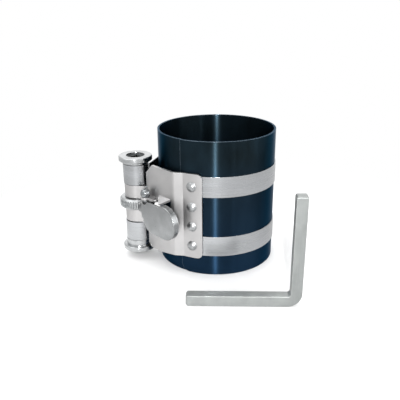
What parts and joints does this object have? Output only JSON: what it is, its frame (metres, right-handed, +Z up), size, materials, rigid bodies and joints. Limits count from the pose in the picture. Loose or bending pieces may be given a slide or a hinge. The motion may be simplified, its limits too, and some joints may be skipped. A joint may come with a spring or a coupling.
{
  "type": "piston ring compressor",
  "caption": "Wound spring-steel sleeve with tightening bands on a riveted ratchet spool, a sprung release pawl and a square L key, for squeezing piston rings into their grooves.",
  "frame": {"origin": "on the sleeve's bore axis, at the sleeve's lower rim", "axes": "+Z up along the bore axis; -Y faces the bracket plate; the ratchet spool stands at -X of the plate and the free key at +X of the sleeve"},
  "size_m": [0.1205, 0.0959, 0.08],
  "materials": {
    "blued_steel": "blued and oiled spring steel, glossy",
    "band_steel": "bright rolled spring-steel strip",
    "plated_sheet": "satin nickel-plated pressed sheet",
    "rivet_steel": "polished nickel-plated head",
    "turned_steel": "turned and nickel plated",
    "spring_steel": "drawn spring wire",
    "key_steel": "drawn square bar, satin zinc plated"
  },
  "bodies": {
    "sleeve_assembly": {"compression_sleeve": "blued_steel", "upper_band": "band_steel", "lower_band": "band_steel", "ratchet_bracket": "plated_sheet", "upper_band_rivet": "rivet_steel", "lower_band_rivet": "rivet_steel", "upper_sleeve_rivet": "rivet_steel", "lower_sleeve_rivet": "rivet_steel", "pawl_pin": "rivet_steel", "pin_clip": "spring_steel", "pawl_spring": "spring_steel"},
    "ratchet_spool": {"spool_shaft": "turned_steel", "drive_head": "turned_steel", "end_collar": "turned_steel", "ratchet_wheel": "turned_steel", "upper_band_coil": "band_steel", "lower_band_coil": "band_steel"},
    "release_pawl": {"pawl_lever": "plated_sheet"},
    "wrench_key": {"square_key": "key_steel"}
  },
  "joints": [
    {"name": "spool_turn", "type": "hinge", "parent": "sleeve_assembly", "child": "ratchet_spool", "pos_m": [-0.0284, -0.0398, 0.0363], "axis": [0, 0, -1], "range_deg": [-1404, 396]},
    {"name": "pawl_release", "type": "hinge", "parent": "sleeve_assembly", "child": "release_pawl", "pos_m": [-0.0146, -0.044, 0.035], "axis": [0, 0, 1], "range_deg": [-9.5, 7], "stiffness_Nm_per_rad": 0.02, "springref_deg": -9.51, "deforming": ["pawl_spring"]},
    {"name": "key_lift", "type": "slide", "parent": "sleeve_assembly", "child": "wrench_key", "axis": [0, 0, 1], "range_m": [0, 0.12]}
  ]
}
